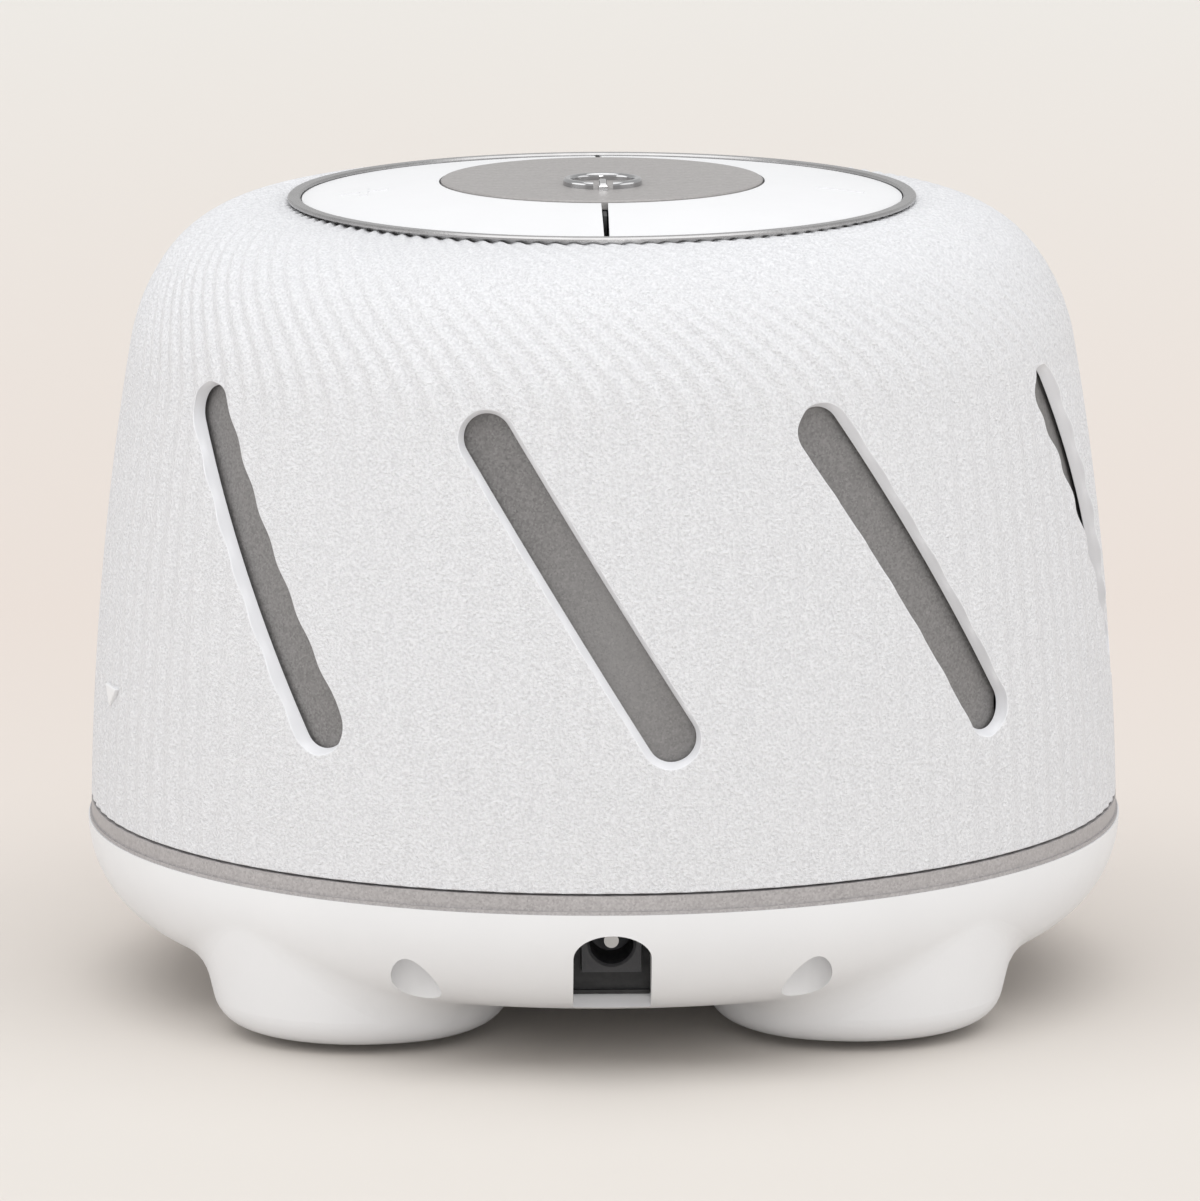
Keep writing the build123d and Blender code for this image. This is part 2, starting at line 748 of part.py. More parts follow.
def motor_end_cap():
    cap = disc(motor_radius, motor_top - motor_cap_thickness, motor_top)
    return cap - disc(bearing_radius, motor_top - motor_cap_thickness - 1, motor_top + 1)


def motor_bearings():
    low = bracket_top + motor_wall
    bore = shaft_radius + running_clearance
    return [
        tube(bearing_radius, bore, low, low + bearing_length),
        tube(bearing_radius, bore, motor_top - bearing_length, motor_top),
    ]


def motor_magnets():
    outer = motor_radius - motor_wall
    middle = (bracket_top + motor_top) / 2
    low = middle - armature_length / 2 - 1
    high = middle + armature_length / 2 + 1
    return [sector(outer, outer - magnet_thickness, low, high, side, magnet_span) for side in (90, 270)]


def motor_shaft():
    return disc(shaft_radius, bracket_top + motor_wall + shaft_end_gap, fan_top - fan_disc)


def armature():
    middle = (bracket_top + motor_top) / 2
    core = disc(armature_radius, middle - armature_length / 2, middle + armature_length / 2)
    for k in range(5):
        slot = block(-1.2, 1.2, -armature_radius - 1, -armature_radius / 2, 0, motor_top)
        core -= facing(72 * k) * slot
    return core - disc(shaft_radius, 0, motor_top)


def impeller():
    disc_low = fan_top - fan_disc
    body = disc(fan_radius, disc_low, fan_top)
    body += disc(fan_hub_radius, fan_top - fan_hub_length, fan_top)
    body += tube(fan_radius, fan_ring_inner, fan_ring_bottom, fan_ring_bottom + fan_ring)
    length = fan_radius - fan_inner_radius
    blade = block(-blade_thickness / 2, blade_thickness / 2, -length, 0,
                  fan_ring_bottom + fan_ring / 2, disc_low + fan_disc / 2)
    space = tube(fan_radius - 0.4, fan_inner_radius, fan_ring_bottom, fan_top)
    for k in range(blade_count):
        placed = facing(360 * k / blade_count) * Pos(0, -fan_inner_radius, 0) * Rot(0, 0, blade_lean) * blade
        body += placed & space
    return body - disc(shaft_radius, 0, fan_top - fan_disc)


# ---------------------------------------------------------------- power inlet
def inlet_board_y():
    """How far from the axis the inlet's board starts."""
    return alcove_back - plate_depth - jack_clearance


def inlet_places():
    y = -inlet_board_y() + inlet_board_inset
    return [Pos(side * inlet_board_hole, y, 0) for side in (-1, 1)]


def inlet_plate():
    plate = block(-plate_width / 2, plate_width / 2, -alcove_back, -alcove_back + plate_depth,
                  floor_top, plate_top)
    half = inlet_width / 2 - jack_clearance
    plate += block(-half, half, -alcove_back - plate_ledge, -alcove_back, floor_top,
                   floor_top + plate_ledge)
    return plate - jack_room()


def along_y(radius, y0, y1):
    """A cylinder along Y at the height of the socket."""
    return Pos(0, (y0 + y1) / 2, jack_height) * Rot(90, 0, 0) * Cylinder(radius, abs(y1 - y0))


def dc_jack():
    half = jack_width / 2
    body = block(-half, half, -jack_face, -jack_face + jack_length, jack_bottom, jack_top)
    body -= along_y(jack_bore_radius, -jack_face - 1, -jack_face + jack_bore_depth)
    flare = jack_mouth_radius - jack_bore_radius
    mouth = Pos(0, -jack_face + flare / 2, jack_height) * Rot(90, 0, 0) * Cone(
        jack_bore_radius, jack_mouth_radius, flare)
    return body - mouth


def jack_pin():
    inner = -jack_face + jack_bore_depth
    return along_y(jack_pin_radius, inner - jack_pin_length, inner)


def inlet_board():
    y0 = -inlet_board_y()
    half = inlet_board_width / 2
    low = jack_bottom - inlet_board_thickness
    board = block(-half, half, y0, y0 + inlet_board_length, low, jack_bottom)
    for place in inlet_places():
        board -= place * disc(small_screw_radius + 0.2, low - 1, jack_bottom + 1)
    return board


def inlet_screws():
    one = screw(small_screw_radius, small_head_radius, floor_top + 0.4, jack_bottom, small_head_height)
    return [place * one for place in inlet_places()]


# --------------------------------------------------------------- top controls
def trim_ring():
    flange_low = form_top(0) + dome_gap
    neck = dome_mouth_radius - dome_gap
    bevel = ring_bevel
    corners = [
        (ring_inner_radius, well_floor), (neck, well_floor), (neck, flange_low),
        (ring_outer_radius, flange_low), (ring_outer_radius, ring_top - bevel),
        (ring_outer_radius - bevel, ring_top), (ring_inner_radius + bevel, ring_top),
        (ring_inner_radius, ring_top - bevel),
    ]
    return turned(Polyline(*corners, close=True))


def guide_places():
    """The guide pins of each key: name, distance from the axis, azimuth."""
    places = []
    for name, middle in (("minus", 90.0), ("plus", 270.0)):
        for side in (-1, 1):
            places.append((name, plate_guide_radius, middle + side * plate_guide_azimuth))
    for side in (90.0, 270.0):
        places.append(("power", disc_guide_radius, side))
    return places


def switch_places():
    """Each key's switch: name, x."""
    return (("plus", -switch_radius), ("power", 0.0), ("minus", switch_radius))


def top_frame():
    outer = ring_inner_radius - frame_clearance
    body = disc(outer, frame_bottom, frame_rim_top) - disc(outer - frame_wall, frame_top, frame_rim_top + 1)
    body -= disc(frame_window_radius, frame_bottom - 1, frame_top + 1)
    tube_top = board_bottom - frame_clearance / 2
    for azimuth in mirrored_azimuths(top_screw_azimuth):
        seat = polar(top_screw_ring, azimuth) * disc(top_post_radius, frame_bottom, frame_rim_top)
        body -= seat & disc(outer, frame_top, frame_rim_top)
    for name, radius, azimuth in guide_places():
        body += polar(radius, azimuth) * disc(2 * guide_pin_radius, frame_bottom, tube_top)
    for azimuth in mirrored_azimuths(board_post_azimuth):
        body += polar(board_post_ring, azimuth) * disc(board_post_radius, frame_bottom, board_bottom)
    for side in (0, 180):
        rib = block(-rib_thickness / 2, rib_thickness / 2, -rib_end, -rib_start, frame_bottom, rib_top)
        body += facing(side) * rib
    for azimuth in mirrored_azimuths(top_screw_azimuth):
        body -= polar(top_screw_ring, azimuth) * disc(
            small_screw_radius + 0.3, frame_bottom - 1, frame_top + 1)
    for azimuth in mirrored_azimuths(board_post_azimuth):
        body -= polar(board_post_ring, azimuth) * disc(
            small_screw_radius + running_clearance, frame_bottom - 1, board_bottom + 1)
    for name, radius, azimuth in guide_places():
        body -= polar(radius, azimuth) * disc(
            guide_pin_radius + guide_clearance, frame_bottom - 1, board_bottom + 1)
    return body


def top_screws():
    one = screw(small_screw_radius, small_head_radius, well_floor - sleeve_wall - small_screw_bite + 0.5,
                frame_top, small_head_height)
    return spread(top_screw_ring, mirrored_azimuths(top_screw_azimuth), one)


def control_board():
    body = disc(board_radius, board_bottom, board_top)
    for azimuth in mirrored_azimuths(top_screw_azimuth):
        body -= polar(top_screw_ring, azimuth) * disc(
            top_post_radius + 1, board_bottom - 1, board_top + 1)
    for name, radius, azimuth in guide_places():
        body -= polar(radius, azimuth) * disc(
            guide_pin_radius + 0.5, board_bottom - 1, board_top + 1)
    for azimuth in mirrored_azimuths(board_post_azimuth):
        body -= polar(board_post_ring, azimuth) * disc(
            small_screw_radius + 0.2, board_bottom - 1, board_top + 1)
    for side in (0, 180):
        slit = block(-rib_thickness, rib_thickness, -rib_end - 0.5, -rib_start + 0.5,
                     board_bottom - 1, board_top + 1)
        body -= facing(side) * slit
    return body


def board_screws():
    one = screw(small_screw_radius, small_head_radius, frame_bottom + 0.5, board_top, small_head_height)
    return spread(board_post_ring, mirrored_azimuths(board_post_azimuth), one)


def tact_switches():
    half = switch_size / 2
    switches = []
    for name, x in switch_places():
        body = block(x - half, x + half, -half, half, board_top, switch_top)
        bore = disc(plunger_radius + running_clearance, board_top + switch_height / 4, switch_top + 1)
        switches.append(body - Pos(x, 0, 0) * bore)
    return switches


def plunger(x):
    low = board_top + switch_height / 4 + key_travel + 0.2
    return Pos(x, 0, 0) * disc(plunger_radius, low, plunger_top)


def guide_pins(wanted, top):
    pins = []
    for name, radius, azimuth in guide_places():
        if name == wanted:
            low = frame_bottom + key_travel + 0.4
            pins.append(polar(radius, azimuth) * disc(guide_pin_radius, low, top))
    return pins


def plate_form(drop):
    """The crowned form of both key plates, taken down by a drop."""
    outer = ring_inner_radius - plate_gap
    rise = plate_inner_top - plate_rim_top
    middle = (outer + plate_inner_radius) / 2
    crown = rise / 2 + rise / 12
    low = plate_rim_top - drop
    arc = ThreePointArc((outer, low), (middle, low + crown), (plate_inner_radius, low + rise))
    base = plate_rim_top - 2 * plate_thickness
    lines = [
        arc,
        Line((plate_inner_radius, low + rise), (0, low + rise)),
        Line((0, low + rise), (0, base)),
        Line((0, base), (outer, base)),
        Line((outer, base), (outer, low)),
    ]
    return turned(lines)


def half_space():
    """The +X side of the slit between the plates, which narrows outwards."""
    outer = ring_inner_radius
    far = 2 * outer
    near = seam_inner / 2
    end = seam_outer / 2
    slope = (end - near) / (outer - plate_inner_radius)
    points = [(near, 0), (near, plate_inner_radius), (near + slope * (far - plate_inner_radius) / 2, far),
              (far, far), (far, -far), (near + slope * (far - plate_inner_radius) / 2, -far),
              (near, -plate_inner_radius)]
    return extrude(make_face(Polyline(*points, close=True)), ring_top + symbol_height * 4)


def key_plate(name, side):
    """One half plate, with its stem, its guide pins and its raised mark."""
    outer = ring_inner_radius - plate_gap
    solid = plate_form(0) - plate_form(plate_thickness) - disc(plate_inner_radius, 0, ring_top + 9)
    skirt = tube(outer, outer - 1.2, frame_rim_top + key_travel + 0.3, plate_rim_top)
    solid += skirt & plate_form(0)
    room = half_space() if side > 0 else Rot(0, 0, 180) * half_space()
    solid = solid & room
    x = side * switch_radius
    under = plate_form(plate_thickness / 2)
    stem = Pos(x, 0, 0) * disc(stem_radius, plunger_top, ring_top + 9)
    top = ring_top + 9
    for piece in [stem] + guide_pins(name, top):
        solid += piece & (under + disc(outer, 0, plate_rim_top - plate_thickness))
    mark = block(-mark_length / 2, mark_length / 2, -mark_stroke / 2, mark_stroke / 2, 0, top)
    if name == "plus":
        mark += Rot(0, 0, 90) * mark
    mark = Pos(side * mark_radius, mark_offset, 0) * mark
    solid += mark & (plate_form(-mark_relief) - plate_form(plate_thickness / 2))
    return solid


def power_disc():
    body = disc(disc_radius, disc_top - disc_thickness, disc_top)
    body = chamfer([e for e in body.edges() if e.center().Z > disc_top - 0.01], 0.2)
    body += disc(stem_radius, plunger_top, disc_top - disc_thickness / 2)
    for pin in guide_pins("power", disc_top - disc_thickness / 2):
        body += pin
    return body


def power_symbol():
    """A broken ring with a bar in its opening, standing on the disc."""
    high = disc_top + symbol_height
    ring = tube(symbol_outer, symbol_inner, disc_top, high)
    tops = [e for e in ring.edges() if e.center().Z > high - 0.01]
    ring = fillet(tops, (symbol_outer - symbol_inner) * 0.4)
    ring -= block(-symbol_gap / 2, symbol_gap / 2, -2 * symbol_outer, 0, disc_top - 1, high + 1)
    half = symbol_bar_width / 2
    bar = block(-half, half, -symbol_bar_end, -symbol_bar_start, disc_top, high)
    tops = [e for e in bar.edges() if e.center().Z > high - 0.01]
    bar = fillet(tops, symbol_bar_width * 0.4)
    return [Pos(0, symbol_offset, 0) * ring, Pos(0, symbol_offset, 0) * bar]


# ---------------------------------------------------------------------- leads
def lead(points, radii):
    """A round lead along straight runs joined by arcs."""
    path = FilletPolyline(*points, radius=radii)
    start = Plane(origin=path @ 0, z_dir=path % 0)
    return sweep(start * Circle(lead_radius), path=path)


def lead_bends(points):
    """The largest bend that fits at each inner point of a route."""
    bends = []
    for before, here, after in zip(points, points[1:], points[2:]):
        one = Vector(*here) - Vector(*before)
        two = Vector(*after) - Vector(*here)
        turn = radians(one.get_angle(two))
        bends.append(0.45 * min(one.length, two.length) / tan(turn / 2))
    return bends


def climb(x, y):
    """The way up from the baffle, in to the middle and up to the control board."""
    side = 1 if x > 0 else -1
    return [
        (x, y, lead_belly_start),
        (x + side * lead_belly / 2, y - lead_belly, lead_belly_height),
        (x, y, lead_turn_height),
        (side * lead_end_x, lead_end_y, lead_end_height),
        (side * lead_end_x, lead_end_y, board_bottom),
    ]


def power_lead():
    """From the inlet's board up to the control board."""
    points = [(power_lead_x, power_lead_y, jack_bottom)] + climb(power_lead_x, power_lead_y)
    bends = lead_bends(points)
    print("power lead bends", [round(bend, 1) for bend in bends])
    return lead(points, bends)


def motor_lead():
    """From under the motor, across above the floor and up to the control board."""
    low = floor_top + grille_thickness + lead_radius + 1
    x, y = motor_lead_x, motor_lead_y
    points = [
        (-motor_lead_start, 0, bracket_top),
        (-motor_lead_start, 0, low),
        (x, y, low),
    ] + climb(x, y)
    bends = lead_bends(points)
    bends[0] = lead_bend
    print("motor lead bends", [round(bend, 1) for bend in bends])
    return lead(points, bends)


# ------------------------------------------------------------------- writing
def main():
    os.makedirs("parts", exist_ok=True)
    save("base_pan", base_pan())
    save("foot_pads", foot_pads())
    save("base_screws", base_screws())
    save("sleeve_screws", sleeve_screws())
    save("baffle_screws", baffle_screws())
    save("intake_grille", intake_grille())
    save("collar_band", collar_band())
    save("tone_sleeve", tone_sleeve())
    save("air_baffle", air_baffle())
    save("motor_grommets", motor_grommets())
    save("motor_bracket", motor_bracket())
    save("motor_screws", motor_screws())
    save("motor_can", motor_can())
    save("motor_end_cap", motor_end_cap())
    save("motor_bearings", motor_bearings())
    save("motor_magnets", motor_magnets())
    save("motor_shaft", motor_shaft())
    save("armature", armature())
    save("impeller", impeller())
    save("inlet_plate", inlet_plate())
    save("dc_jack", dc_jack())
    save("jack_pin", jack_pin())
    save("inlet_board", inlet_board())
    save("inlet_screws", inlet_screws())
    save("power_lead", power_lead())
    save("motor_lead", motor_lead())
    save("trim_ring", trim_ring())
    save("top_frame", top_frame())
    save("top_screws", top_screws())
    save("control_board", control_board())
    save("board_screws", board_screws())
    save("tact_switches", tact_switches())
    for name, x in switch_places():
        save(f"{name}_plunger", plunger(x))
    save("plus_plate", key_plate("plus", -1))
    save("minus_plate", key_plate("minus", 1))
    save("power_disc", power_disc())
    save("power_symbol", power_symbol())
    save("dome_shell", dome_shell())


main()
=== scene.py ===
"""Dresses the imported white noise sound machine.

Gives it its finishes and its fluted dome, and adds a floor, light and a camera.
"""
import json
import math

import bmesh
import bpy
from mathutils import Matrix, Vector
from mathutils.geometry import delaunay_2d_cdt


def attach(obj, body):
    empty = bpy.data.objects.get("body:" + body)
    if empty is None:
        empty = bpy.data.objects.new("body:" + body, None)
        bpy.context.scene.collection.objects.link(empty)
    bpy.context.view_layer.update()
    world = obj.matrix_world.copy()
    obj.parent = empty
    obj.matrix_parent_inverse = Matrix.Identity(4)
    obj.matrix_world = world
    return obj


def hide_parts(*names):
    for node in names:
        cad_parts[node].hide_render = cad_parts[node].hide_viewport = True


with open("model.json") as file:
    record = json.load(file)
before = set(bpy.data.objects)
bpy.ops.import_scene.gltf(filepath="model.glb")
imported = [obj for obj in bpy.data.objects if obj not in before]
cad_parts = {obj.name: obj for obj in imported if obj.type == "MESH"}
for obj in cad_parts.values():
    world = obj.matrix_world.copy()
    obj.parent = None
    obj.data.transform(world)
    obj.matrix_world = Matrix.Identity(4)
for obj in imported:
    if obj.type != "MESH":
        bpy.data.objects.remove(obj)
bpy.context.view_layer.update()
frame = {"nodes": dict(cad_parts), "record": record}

# Lengths are in millimetres until they reach Blender, which works in metres. Azimuths are in
# degrees, round from the rear towards +X.
MM = 0.001

# ------------------------------------------------------------------ the camera
camera_distance = 1364.0
camera_elevation = 10.424      # degrees above the horizontal
camera_azimuth = -0.9
camera_roll = 0.17             # degrees
camera_lens = 275.35
camera_sensor = 36.0           # as high as the picture
camera_reach = 20.0            # metres
target_height = 56.2
target_sideways = -0.46

# -------------------------------------------------------- the floor and lights
floor_half = 4.0               # metres
floor_near = 0.5               # metres before the object where the floor's colour starts to change
floor_far = 1.5                # and metres behind it where the change ends
floor_colours = [              # share of the way from near to far, and the colour there
    (0.0, (0.645, 0.613, 0.577)),
    (0.2, (0.645, 0.611, 0.573)),
    (0.4, (0.637, 0.573, 0.528)),
    (0.9, (0.650, 0.630, 0.598)),
]
world_strength = 0.68
suns = [                       # name, azimuth, elevation, strength and the angle that it fills
    ("top", 0.0, 80.0, 1.65, 70.0),
    ("left", -78.0, 12.0, 0.85, 50.0),
    ("right", 78.0, 12.0, 0.62, 50.0),
    ("front", 4.0, 6.0, 0.5, 14.0),
]

# -------------------------------------------------------------------- the dome
dome_foot_radius = 76.2
dome_foot = 28.1
dome_mouth_radius = 45.6
dome_wall = 2.0
profile_arcs = [               # first and last lean of the surface in degrees, and radius
    (1.3, 9.8, 460.0),
    (9.8, 35.0, 30.0),
    (35.0, 90.0, 19.5),
]
slot_count = 9                 # places; the one over the pointer stays plain
slot_azimuth = -3.6
slot_half_width = 3.45         # inside
slot_half_run = 13.0           # sideways from the slot's middle to an end centre
slot_low = 49.9
slot_high = 91.7
slot_flare = 0.7               # how much wider each side is at the outside
border_radius = 0.18           # where the wall meets the outside
rim_radius = 0.12              # where the wall ends inside
edge_radius = 0.35             # at the foot and at the mouth

flutes_per_slot = 12
flute_depth = 0.38
swirl_start = 63.5             # distance up the profile where the flutes start to swirl
swirl_ease = 14.0
swirl_rate = 0.9               # degrees for each millimetre further up

pointer_azimuth = -73.6
pointer_middle = 46.3
pointer_width = 6.0
pointer_height = 3.0
pointer_relief = 0.3
pointer_sink = 0.1             # how far its back lies under the flutes
pointer_rounding = 0.2
rounding_steps = 3

# ------------------------------------------------------------- the dome's mesh
column_count = 96              # in the sector of one slot
inner_columns = 24
inner_rows = 48
edge_rows = (0.1, 0.2)         # distances from the foot and from the mouth
first_row = 1.0                # where the even rows start
row_pitch_low = 1.3            # below the swirl
row_pitch_high = 0.7
lip_steps = 4                  # round the border of a slot
wall_steps = 3
rim_share = 0.3                # of the rim's radius, where its middle loop stands
loop_pitch = 0.5
border_clearance = 1.5         # of the border's radius, kept free of other points
inner_clearance = 0.5
net_tolerance = 1e-6
weld_distance = 0.01
sharp_angle = 40.0             # degrees
BARELY = 1e-9


def clamp(value, low, high):
    return max(low, min(high, value))


# ------------------------------------------------------------- shape of the dome
def profile_pieces():
    """Each arc as (start along the profile, centre, radius, first lean in radians)."""
    pieces = []
    along = 0.0
    point = (dome_foot_radius, dome_foot)
    for first, last, radius in profile_arcs:
        a, b = math.radians(first), math.radians(last)
        centre = (point[0] - radius * math.cos(a), point[1] - radius * math.sin(a))
        pieces.append((along, centre, radius, a))
        along += radius * (b - a)
        point = (centre[0] + radius * math.cos(b), centre[1] + radius * math.sin(b))
    return pieces, along, point


PIECES, CROWN_END, CROWN_POINT = profile_pieces()
PROFILE_LENGTH = CROWN_END + CROWN_POINT[0] - dome_mouth_radius
SECTOR = 360.0 / slot_count
FOOT_DEGREE = math.radians(1.0) * dome_foot_radius     # length of one degree round the foot


def profile(along, inset=0.0):
    """Radius and height of the dome's surface at a distance up its profile, less an inset."""
    if along >= CROWN_END:
        return CROWN_POINT[0] - (along - CROWN_END), CROWN_POINT[1] - inset
    start, centre, radius, lean = [piece for piece in PIECES if piece[0] <= along + BARELY][-1]
    angle = lean + (along - start) / radius
    reach = radius - inset
    return centre[0] + reach * math.cos(angle), centre[1] + reach * math.sin(angle)


def along_at(height, inset=0.0):
    """Distance up the profile where the dome's side reaches a height."""
    start, centre, radius, lean = PIECES[0]
    if profile(PIECES[1][0], inset)[1] < height:
        start, centre, radius, lean = PIECES[1]
    return start + radius * (math.asin((height - centre[1]) / (radius - inset)) - lean)


def place(azimuth, along, inset):
    """A point of the dome, in metres."""
    radius, height = profile(along, inset)
    angle = math.radians(azimuth)
    return Vector((radius * math.sin(angle), -radius * math.cos(angle), height)) * MM


def swirl(along):
    """How far round the flutes have turned, in degrees, at a distance up the profile."""
    rise = max(0.0, along - swirl_start)
    if rise < swirl_ease:
        return -swirl_rate * rise * rise / (2 * swirl_ease)
    return -swirl_rate * (rise - swirl_ease / 2)


def flute_drop(azimuth, along):
    """How far a flute lies under the crests on either side of it."""
    turn = (azimuth - swirl(along)) / SECTOR * flutes_per_slot
    return flute_depth * (0.5 - 0.5 * math.cos(2 * math.pi * turn))


def rounding(distance, radius):
    """How far a rounded edge lies under the surface, at a distance in from the edge."""
    inner = clamp(radius - distance, 0.0, radius)
    return radius - math.sqrt(max(0.0, radius * radius - inner * inner))


def slot_distance(x, height):
    """Distance outwards from the slot's edge, in the upright plane that it was cut through."""
    ax, az, bx, bz = -slot_half_run, slot_high, slot_half_run, slot_low
    dx, dz = bx - ax, bz - az
    share = clamp(((x - ax) * dx + (height - az) * dz) / (dx * dx + dz * dz), 0.0, 1.0)
    return math.hypot(x - ax - share * dx, height - az - share * dz) - slot_half_width


def slot_loop(offset):
    """Points round the slot at a distance outwards from its edge, as (x, height)."""
    top = Vector((-slot_half_run, slot_high))
    bottom = Vector((slot_half_run, slot_low))
    down = (bottom - top).normalized()
    across = Vector((-down.y, down.x))
    reach = slot_half_width + offset
    run_steps = round((bottom - top).length / loop_pitch)
    turn_steps = round(math.pi * slot_half_width / loop_pitch)
    points = []
    for start, end, side in ((top, bottom, 1), (bottom, top, -1)):
        for k in range(run_steps):
            points.append(start.lerp(end, k / run_steps) + across * side * reach)
        for k in range(turn_steps):
            angle = math.pi * k / turn_steps
            outwards = across * math.cos(angle) + down * math.sin(angle)
            points.append(end + outwards * side * reach)
    return points


def on_dome(point, inset):
    """A point of the slot's plane as (azimuth from the slot's middle, distance up the profile)."""
    along = along_at(point.y, inset)
    radius, _ = profile(along, inset)
    return math.degrees(math.asin(point.x / radius)), along


# -------------------------------------------------------------- mesh of the dome
def rows():
    """Distances of the rows up the profile, closer at its edges and where the flutes swirl."""
    low_run = swirl_start - first_row
    low_steps = round(low_run / row_pitch_low)
    last = PROFILE_LENGTH - edge_radius
    high_steps = round((last - swirl_start) / row_pitch_high)
    values = [0.0, *edge_rows, edge_radius]
    values += [first_row + low_run * k / low_steps for k in range(low_steps)]
    values += [swirl_start + (last - swirl_start) * k / high_steps for k in range(high_steps + 1)]
    return values + [PROFILE_LENGTH - row for row in reversed(edge_rows)] + [PROFILE_LENGTH]


def net(loops, row_values, columns, inset, clear):
    """A flat net of triangles over one sector, without what the first loop holds.

    Gives its points, where each stands as (loop, place on the loop) or none, and its faces.
    """
    points = []
    for along in row_values:
        radius, height = profile(along, inset)
        across = column_count if along in (row_values[0], row_values[-1]) else columns
        for column in range(across + 1):
            azimuth = SECTOR * (column / across - 0.5)
            x = radius * math.sin(math.radians(azimuth))
            if not loops or column in (0, across) or slot_distance(x, height) > clear:
                points.append((azimuth, along))
    owner = [None] * len(points)
    edges = []
    for number, loop in enumerate(loops):
        first, count = len(points), len(loop)
        points += [on_dome(point, inset) for point in loop]
        owner += [(number, k) for k in range(count)]
        edges += [(first + k, first + (k + 1) % count) for k in range(count)]
    flat = [Vector((azimuth * FOOT_DEGREE, along)) for azimuth, along in points]
    found, _, triangles, sources, _, _ = delaunay_2d_cdt(flat, edges, [], 0, net_tolerance)
    coords = [(point.x / FOOT_DEGREE, point.y) for point in found]
    owner = [owner[source[0]] for source in sources]
    faces = [tuple(face) for face in triangles
             if not all(owner[k] and owner[k][0] == 0 for k in face)]
    return coords, owner, faces


class Patch:
    """Collects the vertices and faces of one sector, and how much grain each vertex shows."""

    def __init__(self):
        self.verts = []
        self.faces = []
        self.grain = []

    def add(self, verts, faces, grain):
        base = len(self.verts)
        self.verts += verts
        self.faces += [tuple(base + k for k in face) for face in faces]
        self.grain += grain

    def add_smooth(self, verts, faces):
        self.add(verts, faces, [0.0] * len(verts))


def outer_skin(patch, slotted):
    """The fluted outside, up to the crisp border of each slot."""
    turns = [math.pi / 2 * k / lip_steps for k in range(lip_steps + 1)] if slotted else []
    drops = [border_radius * (1 - math.sin(turn)) for turn in turns]
    loops = [slot_loop(slot_flare + border_radius * (1 - math.cos(turn))) for turn in turns]
    clear = slot_flare + border_radius * border_clearance
    coords, owner, faces = net(loops, rows(), column_count, 0.0, clear)
    verts, grain = [], []
    for (azimuth, along), spot in zip(coords, owner):
        lip = drops[spot[0]] if spot else 0.0
        edge = max(rounding(along, edge_radius), rounding(PROFILE_LENGTH - along, edge_radius))
        inset = max(edge, lip + flute_drop(azimuth, along))
        if spot:
            azimuth, along = on_dome(loops[spot[0]][spot[1]], inset)
        verts.append(place(azimuth, along, inset))
        grain.append(0.0 if spot and spot[0] < lip_steps else 1.0)
    patch.add(verts, faces, grain)


def slot_walls(patch):
    """The smooth walls of a slot, which narrow inwards and end in a small round."""
    wall_run = dome_wall - border_radius - rim_radius
    shares = [k / wall_steps for k in range(wall_steps + 1)]
    levels = [(slot_flare * (1 - share), border_radius + share * wall_run) for share in shares]
    levels.append((rim_radius * rim_share, dome_wall - rim_radius * rim_share))
    levels.append((rim_radius, dome_wall))
    verts = []
    for number, (offset, inset) in enumerate(levels):
        loop = slot_loop(offset)
        for point in loop:
            drop = flute_drop(*on_dome(point, 0.0)) if number == 0 else 0.0
            verts.append(place(*on_dome(point, inset + drop), inset + drop))
    count = len(loop)
    faces = []
    for level in range(len(levels) - 1):
        for k in range(count):
            a, b = level * count + k, level * count + (k + 1) % count
            faces.append((a, b, b + count, a + count))
    patch.add_smooth(verts, faces)


def inner_skin(patch, slotted):
    """The smooth inside of the dome."""
    loops = [slot_loop(rim_radius)] if slotted else []
    row_values = [PROFILE_LENGTH * k / inner_rows for k in range(inner_rows + 1)]
    coords, _, faces = net(loops, row_values, inner_columns, dome_wall, inner_clearance)
    verts = [place(azimuth, along, dome_wall) for azimuth, along in coords]
    patch.add_smooth(verts, [tuple(reversed(face)) for face in faces])


def rims(patch):
    """The narrow rings that close the foot and the mouth."""
    azimuths = [SECTOR * (k / column_count - 0.5) for k in range(column_count + 1)]
    side = len(azimuths)
    for along, flip in ((0.0, False), (PROFILE_LENGTH, True)):
        outer = [place(azimuth, along, max(edge_radius, flute_drop(azimuth, along)))
                 for azimuth in azimuths]
        inner = [place(azimuth, along, dome_wall) for azimuth in azimuths]
        faces = [(k, side + k, side + k + 1, k + 1) for k in range(column_count)]
        if flip:
            faces = [tuple(reversed(face)) for face in faces]
        patch.add_smooth(outer + inner, faces)


def build_sector(slotted):
    """The mesh of one sector, with or without its slot."""
    patch = Patch()
    outer_skin(patch, slotted)
    if slotted:
        slot_walls(patch)
    inner_skin(patch, slotted)
    rims(patch)
    return patch


def over_pointer(azimuth):
    """True for the sector that the pointer stands in."""
    return abs((azimuth - pointer_azimuth + 180) % 360 - 180) < SECTOR / 2


def add_mesh(name, verts, faces):
    """A new mesh object in the scene."""
    mesh = bpy.data.meshes.new(name)
    mesh.from_pydata([tuple(vert) for vert in verts], [], faces)
    made = bpy.data.objects.new(name, mesh)
    bpy.context.scene.collection.objects.link(made)
    return made


